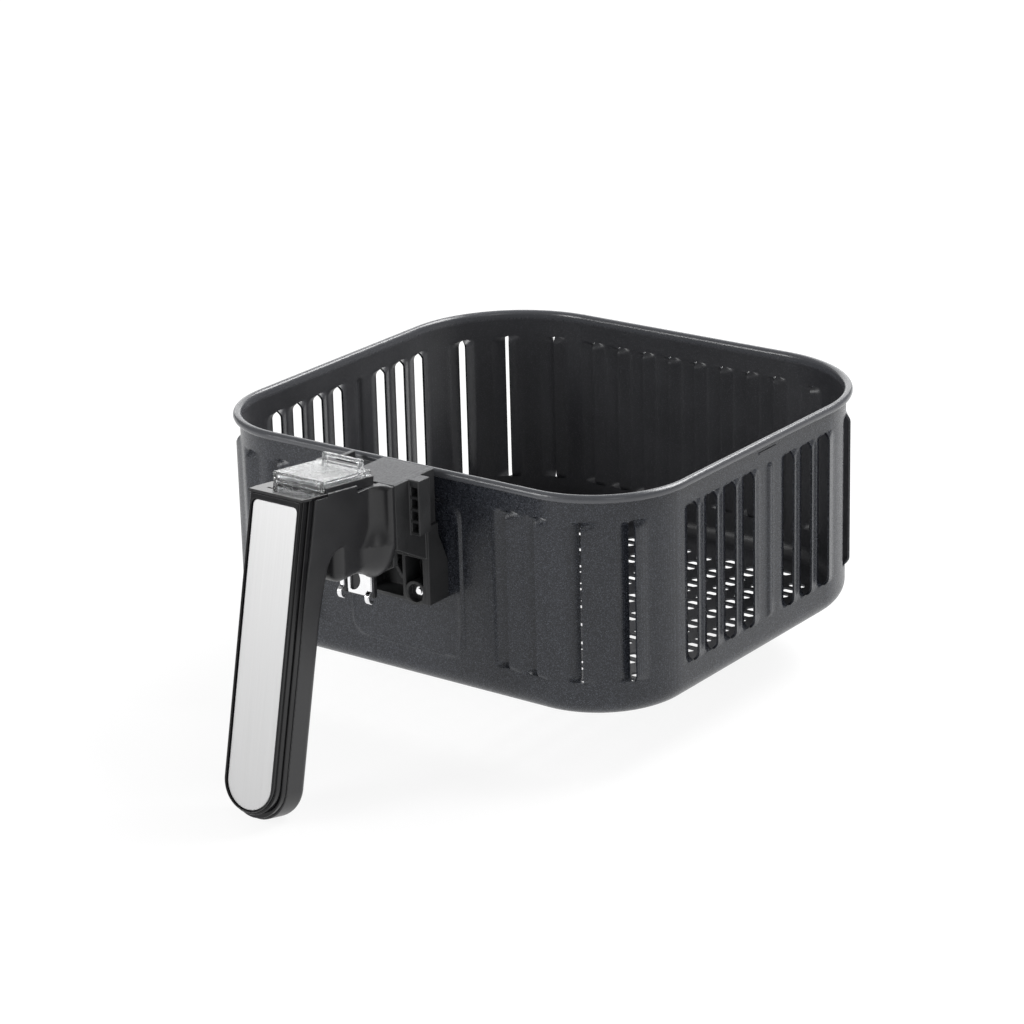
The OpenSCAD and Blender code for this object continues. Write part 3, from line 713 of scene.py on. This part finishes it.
def f_block(x, y, z):
    ax = np.abs(x)
    e = 0.35
    d = ri(poly(y, z, SIDE), slab(ax, 20.6, 23), e)
    d = ru(d, ri(poly(y, z, FLARE), slab(ax, 22.6, 24.2), e), 0.4)
    d = ru(d, rbox(x, y, z, (-22, -145, 101.5), (22, -117.4, 105), e), 0.5)
    d = ru(d, rbox(x, y, z, (-22, -120.4, 66.5), (22, -117.4, 103), e), 0.4)
    d = np.minimum(d, ri(poly(y, z, [(-114.4, 44), (-111.4, 44), (-111.4, 61.5), (-117.4, 75), (-120.4, 75), (-114.4, 61.5)]), slab(x, -22, 22), e))
    d = ru(d, ri(poly(x, z, CHIN), slab(y, -145, -142), e), 0.5)
    d = ru(d, rbox(ax, y, z, (22, -135.3, 80), (28.2, -127.2, 105), 0.5), 0.5)
    d = np.minimum(d, rbox(x, y, z, (-22, -125, 44), (22, -113, 45.7), e))
    d = np.minimum(d, rbox(x, y, z, (-22, -125, 64.8), (22, -113, 66.6), e))
    d = np.minimum(d, rbox(ax, y, z, (9.4, -125, 45), (11, -113, 65.6), e))
    # the webs beside the bosses
    d = np.minimum(d, ri(poly(ax, z, [(6.4, 60.2), (5.2, 58.8), (8.8, 53.6), (10.2, 54.4)]), slab(y, -125, -113), 0.25))
    d = np.minimum(d, ri(poly(ax, z, [(11, 66.4), (20.8, 73.8), (21.6, 72.8), (12.6, 65.2)]), slab(y, -127, -117), 0.25))
    for px, pz in SCREWS:
        d = ru(d, rod(x, z, y, px, pz, 5.6, -125, -112, e), 0.6)
    d = cut(d, rbox(x, y, z, (-20.5, -131, 90), (-5, -115, 107), 0.4), 0.3)
    for px, pz in SCREWS:
        d = cut(d, rod(x, z, y, px, pz, 2, -130, -110, 0.1), 0.15)
        d = cut(d, rod(x, z, y, px, pz, 4, -130, -122.2, 0.1), 0.35)
    for px, pz in NECK_FIX:
        d = cut(d, rod(x, z, y, px, pz, 1.8, -146, -141, 0.1), 0.15)
    d = cut(d, rbox(x, y, z, (-9.4, -147, 58), (9.4, -141, 85), 0.3), 0.3)
    for pz in (81.6, 87.0, 92.4, 97.8):
        d = cut(d, rbox(ax, y, z, (24, -137, pz), (27.2, -131, pz + 4), 0.4), 0.25)
    return d


block = grid_mesh("bracket_block_moulding", f_block, (-28.2, -145, 44), (28.2, -111.4, 105), 0.42)
piece(block, [M_NYLON], BODY, "black_nylon", "bracket_block")

# ------------------------------------------------------------------ handle
ARCH = [(-200, 60), (-188, 60), (-186.4, 63.5), (-184.6, 67.5), (-182.6, 73), (-180.8, 78), (-178.8, 81.2), (-176.4, 83), (-173.5, 83.5),
        (-144.5, 83.5), (-144.5, 125), (-200, 125)]
FLANGE = [(-9, 62.6), (0, 62.2), (9, 62.6), (13.6, 66.6), (16.6, 69.6), (19.6, 73.6), (21.8, 78), (22.8, 82.5), (23, 86), (23, 105), (-23, 105), (-23, 86),
          (-22.8, 82.5), (-21.8, 78), (-19.6, 73.6), (-16.6, 69.6), (-13.6, 66.6)]
FIX = (-24, -112)
BED_FIX = [(-8.6, 45.2), (8.6, 45.2), (0, 20)]


def f_handle(x, y, z):
    gy, gz = to_grip(y, z)
    ty, tz = to_top(y, z)
    # the rear shell's round back sharpens to an edge where it turns into the neck
    back_ = np.minimum(gy - 22, poly(y, z, ARCH))
    soft = 4.0 - 3.1 * smooth((z - 52) / 34)
    up = ri(ri(tongue(x, gz, 14.6, 141) - 0.6 * smooth((z - 68) / 22), back_, soft), 8.3 - gy, 0.35)
    spread = np.minimum(6.0 + 0.05 * np.maximum(103.5 - z, 0) + 0.05 * np.maximum(90 - z, 0) ** 2, 13)
    flange = ri(poly(x, z, FLANGE), slab(y, -148.2, -138), 2.0)
    lobe = rbox(x, y, z, (-15.1, -175.4, 67.4), (15.1, -140, 96), 5.2)
    d = ru(np.minimum(up, lobe), flange, spread)
    d = np.maximum(d, y + 145)
    # the flat top, with seats for the cap and the guide bed
    d = ri(d, tz, 0.35)
    d = cut(d, np.maximum(np.maximum(-CAP_T - tz, ty - 16.35), -20 - ty), 0.0)
    d = cut(d, np.maximum(np.maximum(np.abs(x) - 14.1, -2.2 - tz), 16.3 - ty), 0.0)
    d = ri(d, np.minimum(z - 105, y + 160), 0.3)
    # button well, spring seat and the stem's guide
    d = cut(d, np.maximum(np.maximum(np.abs(x) - 9.6, slab(ty, 22.6, 41.6)), -12.5 - tz), 0.3)
    d = cut(d, np.maximum(np.hypot(x, ty - 31) - 2.06, slab(tz, -40, 0)), 0.0)
    # lever chamber, and the latch's way down
    d = cut(d, rbox(x, y, z, (-11.6, -173, 76), (11.6, -140, 92), 0.6), 0.0)
    d = cut(d, rbox(x, y, z, (-11.6, -158, 71), (11.6, -140, 77), 0.3), 0.0)
    d = cut(d, rbox(x, y, z, (-9, -171, 71.5), (9, -157, 77), 0.6), 0.0)
    d = cut(d, rbox(x, y, z, (-10.5, -153, 50), (10.5, -140, 75), 0.5), 0.5)
    ax = np.abs(x)
    d = cut(d, rbox(ax, y, z, (10, -152.06, 78.44), (14.2, -140, 81.56), 0.3), 0.0)
    for px, pz in NECK_FIX:
        d = cut(d, np.maximum(np.hypot(x - px, z - pz) - 1.55, -(y + (154 if abs(px) < 10 else 150.2))), 0.0)
    for pz in FIX:
        d = cut(d, np.maximum(np.hypot(x, gz - pz) - 1.55, slab(gy, 0, 17.5)), 0.0)
    for px, py in BED_FIX:
        d = cut(d, np.maximum(np.hypot(x - px, ty - py) - 1.25, slab(tz, -6, 0)), 0.0)
    return d


handle = grid_mesh("handle_shell", f_handle, (-23, -227, -30), (23, -145, 113), 0.62)
piece(handle, [M_SATIN], BODY, "satin_plastic", "handle_body")

INLAY_Z = -3.55


def inlay2d(x, z, w, l, r=2.5):
    zz = z + (l - w)
    top = rrect(x, z, -w, -60, w, 0, r)
    low = tongue(x, z, w, l)
    return np.where(z > -30, top, low)


def f_frame(x, y, z):
    """In the grip's own frame: y runs into the grip, z up along it."""
    d = ri(tongue(x, z, 13.35, 136.9), slab(y, 0, 2.3), 0.55)
    d = np.minimum(d, ri(tongue(x, z, 13.95, 138.0), slab(y, 1.9, 4.5), 0.35))
    d = np.minimum(d, ri(tongue(x, z, 13.4, 137.4), slab(y, 3.5, 6.0), 0.2))
    d = np.minimum(d, ri(tongue(x, z, 14.35, 140.0), slab(y, 5.3, 8.2), 0.4))
    # cut along the underside of the top cap
    wy, wz = from_grip(y, z)
    tz = to_top(wy, wz)[1]
    d = ri(d, tz + CAP_T + 0.03, 0.3)
    rec = ri(inlay2d(x, z - INLAY_Z - 0.15, 12.35, 132.75, 2.7), slab(y, -2, 2.4), 0.0)
    d = cut(d, rec, 0.3)
    for pz in FIX:
        d = cut(d, np.maximum(np.hypot(x, z - pz) - 3.2, slab(y, 0, 4.3)), 0.0)
        d = cut(d, np.hypot(x, z - pz) - 1.7, 0.0)
    return d


grip_frame = grid_mesh("grip_front_frame", f_frame, (-14.5, 0, -140), (14.5, 8.2, 1), (0.30, 0.22, 0.75), back=from_grip)
piece(grip_frame, [M_GLOSS], BODY, "gloss_black", "grip_frame")


def f_inlay(x, y, z):
    return ri(inlay2d(x, z - INLAY_Z, 12, 132.4), slab(y, 0.9, 2.05), 0.28)


inlay = grid_mesh("grip_metal_inlay", f_inlay, (-12, 0.9, -136), (12, 2.05, -3.5), (0.35, 0.2, 0.6), back=from_grip)
piece(inlay, [M_INLAY], BODY, "brushed_inlay", "grip_inlay")

CAP = [(-14.3, -0.3), (14.3, -0.3), (15.2, 5.5), (15.2, 16.3), (-15.2, 16.3), (-15.2, 5.5)]


def f_cap(x, y, z):
    d = ri(poly(x, y, CAP), slab(z, -CAP_T, 0), 0.4)
    return cut(d, rbox(x, y, z, (-9.5, 6.2, -0.9), (-6.5, 7.2, 2), 0.1), 0.1)


cap = grid_mesh("handle_top_cap", f_cap, (-15.3, -0.4, -CAP_T), (15.3, 16.3, 0), (0.3, 0.3, 0.2), back=from_top)
piece(cap, [M_GLOSS], BODY, "gloss_black", "top_cap")


def f_bed(x, y, z):
    ax = np.abs(x)
    d = rbox(x, y, z, (-14, 16.4, -2.2), (14, 48.6, 1.9), 0.25)
    d = cut(d, rbox(x, y, z, (-8.3, 26.7, -4), (8.3, 41.3, 5), 0.4), 0.2)
    d = cut(d, rbox(ax, y, z, (11.5, 12, 0.7), (12.9, 52, 5), 0.1), 0.12)
    d = cut(d, rbox(x, y, z, (-3.3, 41.9, 0.2), (3.3, 52, 5), 0.2), 0.12)
    for px, py in BED_FIX:
        d = cut(d, np.hypot(x - px, y - py) - 1.3, 0.0)
        d = cut(d, np.maximum(np.hypot(x - px, y - py) - 2.2, 0.2 - z), 0.12)
    return d


bed = grid_mesh("cover_guide_bed", f_bed, (-14, 16.4, -2.2), (14, 48.6, 1.9), (0.32, 0.35, 0.25), back=from_top)
piece(bed, [M_BED], BODY, "bed_plastic", "guide_bed")


def f_cover(x, y, z):
    ax = np.abs(x)
    d = rbox(x, y, z, (-13.6, 15, 3.7), (13.6, 45.8, 4.9), 0.3)
    d = ru(d, rbox(ax, y, z, (12.4, 15, 2), (13.6, 45.8, 4.6), 0.25), 0.3)
    d = np.minimum(d, rbox(ax, y, z, (11.7, 16.4, 0.9), (12.7, 45.4, 4.2), 0.15))
    d = ru(d, rbox(x, y, z, (-13.6, 15, 0.1), (13.6, 16.2, 4.6), 0.25), 0.4)
    d = np.minimum(d, rbox(x, y, z, (-2.5, 44.9, 2.15), (2.5, 45.7, 4.2), 0.15))
    loop_ = cut(rbox(x, y, z, (-10.6, 43.4, 4.4), (10.6, 45.8, 8.8), 0.35), rbox(x, y, z, (-8.6, 42, 5.3), (8.6, 48, 7.4), 0.4), 0.25)
    d = ru(d, loop_, 0.3)
    return ru(d, ri(np.hypot(ax - 13.2, y - 45) - 1.4, slab(z, 2.6, 4.9), 0.25), 0.2)


cover = grid_mesh("clear_button_guard", f_cover, (-14.6, 15, 0.1), (14.6, 46.4, 8.8), (0.28, 0.3, 0.2), back=from_top)
piece(cover, [M_CLEAR], "button_guard", "clear_plastic", "slide_cover")


def f_button(x, y, z):
    d = rbox(x, y, z, (-8, 27, -3), (8, 41, 1.7), 0.5)
    for yy in (30, 32.8, 35.6, 38.4):
        d = cut(d, rbox(x, y, z, (-6.5, yy, 1.3), (6.5, yy + 1.2, 4), 0.2), 0.12)
    d = np.minimum(d, rbox(x, y, z, (-9.2, 23, -4.4), (9.2, 41.2, -2.4), 0.3))
    stem = np.hypot(np.hypot(x, y - 31), np.maximum(-18.2 - z, 0)) - 2
    stem = np.where(z < -18.2, stem, np.hypot(x, y - 31) - 2)
    return np.minimum(d, np.maximum(stem, z + 4))


button = grid_mesh("release_push_button", f_button, (-9.2, 23, -20.2), (9.2, 41.2, 1.7), (0.36, 0.34, 0.26), back=from_top)
piece(button, [M_BUTTON], "button", "button_plastic", "release_button")

LEVER = [(-170.5, 88.2), (-170.5, 85.6), (-156, 79.5), (-152, 76.6), (-149, 83.8), (-155, 86), (-163, 88.2)]


def f_lever(x, y, z):
    d = rod(y, z, x, -150.5, 80, 4, -7, 7, 0.3)
    d = ru(d, ri(poly(y, z, LEVER), np.abs(x) - 5, 0.5), 0.4)
    d = np.minimum(d, rbox(x, y, z, (-8.8, -144.4, 50.5), (8.8, -142, 74), 0.4))
    d = np.minimum(d, rbox(x, y, z, (-6.5, -144.4, 70), (6.5, -142, 82), 0.3))
    d = np.minimum(d, rbox(x, y, z, (-6.5, -148, 77.5), (6.5, -142, 82), 0.3))
    d = cut(d, np.hypot(y + 150.5, z - 80) - 1.55, 0.1)
    return cut(d, np.maximum(np.hypot(np.abs(x) - 6.4, z - 71) - 1.1, slab(y, -146, -141)), 0.0)


lever = grid_mesh("latch_rocker", f_lever, (-8.8, -170.5, 50.5), (8.8, -142, 88.2), 0.36)
piece(lever, [M_BED], "latch", "bed_plastic", "latch_lever")


def f_fork(x, y, z):
    ax = np.abs(x)
    plate = np.minimum(rrect(x, z, -8.8, 53.2, 8.8, 74, 0.7), rrect(x, z, -4.4, 51.6, 5.8, 56, 0.5))
    y = y - 3.4
    d = ri(plate, slab(y, -149.4, -147.8), 0.3)
    ring = ri(np.hypot(y + 148.6, z - 51.2) - 3.1, slab(ax, 6.4, 8.8), 0.35)
    ring = cut(ring, np.hypot(y + 148.6, z - 51.2) - 1.9, 0.25)
    d = np.minimum(d, ri(ring, y + 147.8, 0.1))
    d = cut(d, np.maximum(rrect(x, z, -6.4, 40, -4.4, 63, 0.7), y + 147), 0.25)
    d = cut(d, ri(ri(np.hypot(x + 2.6, z - 58.4) - 5.2, -2.9 - x, 0.3), 53.3 - z, 0.3), 0.25)
    return cut(d, np.hypot(ax - 6.4, z - 71) - 1.1, 0.0)


fork = grid_mesh("latch_steel_fork", f_fork, (-8.9, -148.4, 48), (8.9, -144.4, 74), 0.26)
piece(fork, [M_CHROME], "latch", "chrome_steel", "latch_fork")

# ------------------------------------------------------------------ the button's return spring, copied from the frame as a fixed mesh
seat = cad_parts["button_spring"]
co = np.array([seat.matrix_world @ v.co for v in seat.data.vertices], float)
me = bpy.data.meshes.new("button_return_spring")
me.from_pydata([tuple(c) for c in co], [], [tuple(f.vertices) for f in seat.data.polygons])
me.update()
me.polygons.foreach_set("use_smooth", [True] * len(me.polygons))
coil = bpy.data.objects.new("button_return_spring", me)
bpy.context.scene.collection.objects.link(coil)
piece(coil, [M_SPRING], BODY, "spring_steel", "button_spring")
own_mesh(coil)

# ------------------------------------------------------------------ small pieces kept from the frame
keep = {"backing_plate": M_STEEL, "bracket_screws": M_CHROME, "neck_screws": M_STEEL, "inlay_tape": M_TAPE, "frame_screws": M_STEEL,
        "bed_screws": M_STEEL, "cover_detent_spring": M_SPRING, "fork_rivets": M_CHROME,
        "pivot_pin": M_STEEL, "pin_clips": M_SPRING, "latch_spring": M_SPRING}
for name, mat in keep.items():
    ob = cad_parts[name]
    if ob.data.materials:
        for i in range(len(ob.data.materials)):
            ob.data.materials[i] = mat
    else:
        ob.data.materials.append(mat)

# ------------------------------------------------------------------ floor and light
bm = bmesh.new()
bmesh.ops.create_grid(bm, x_segments=2, y_segments=2, size=6.0)
me = bpy.data.meshes.new("floor")
bm.to_mesh(me)
bm.free()
floor = bpy.data.objects.new("floor", me)
floor.location.z = float(cad_box[0][2]) - 0.0002
bpy.context.scene.collection.objects.link(floor)
fm = bpy.data.materials.new("pale_floor")
fm.use_nodes = True
nt = fm.node_tree
nt.nodes.clear()
o_ = nt.nodes.new("ShaderNodeOutputMaterial")
df = node(nt, "ShaderNodeBsdfDiffuse", {"Color": (0.93, 0.93, 0.93, 1)})
em = node(nt, "ShaderNodeEmission", {"Color": (1, 1, 1, 1), "Strength": 1.07})
mx = node(nt, "ShaderNodeMixShader", {"Fac": 0.82})
nt.links.new(df.outputs[0], mx.inputs[1])
nt.links.new(em.outputs[0], mx.inputs[2])
nt.links.new(mx.outputs[0], o_.inputs[0])
floor.data.materials.append(fm)

world = bpy.data.worlds.new("studio")
bpy.context.scene.world = world
world.use_nodes = True
bg = world.node_tree.nodes["Background"]
bg.inputs[0].default_value = (1, 1, 1, 1)
bg.inputs[1].default_value = 0.30


def softbox(name, at, to, size, watts, colour=(1, 1, 1)):
    li = bpy.data.lights.new(name, "AREA")
    li.shape = "RECTANGLE"
    li.size, li.size_y = size
    li.energy = watts
    li.color = colour
    ob = bpy.data.objects.new(name, li)
    ob.location = at
    ob.rotation_euler = (Vector(to) - Vector(at)).to_track_quat("-Z", "Y").to_euler()
    bpy.context.scene.collection.objects.link(ob)
    return ob


softbox("top_box", (0.35, 0.75, 1.05), (0, 0.02, 0.08), (1.1, 0.5), 22)
softbox("right_box", (1.35, -1.0, 0.9), (0.05, 0, 0.05), (0.5, 0.8), 2.5)
softbox("back_box", (-1.15, 1.5, 0.8), (0, -0.05, 0.1), (2.4, 1.3), 17)
softbox("front_box", (-0.75, -1.55, 0.65), (0.0, -0.05, 0.05), (0.6, 0.8), 14)
bpy.context.scene.view_settings.view_transform = "Standard"
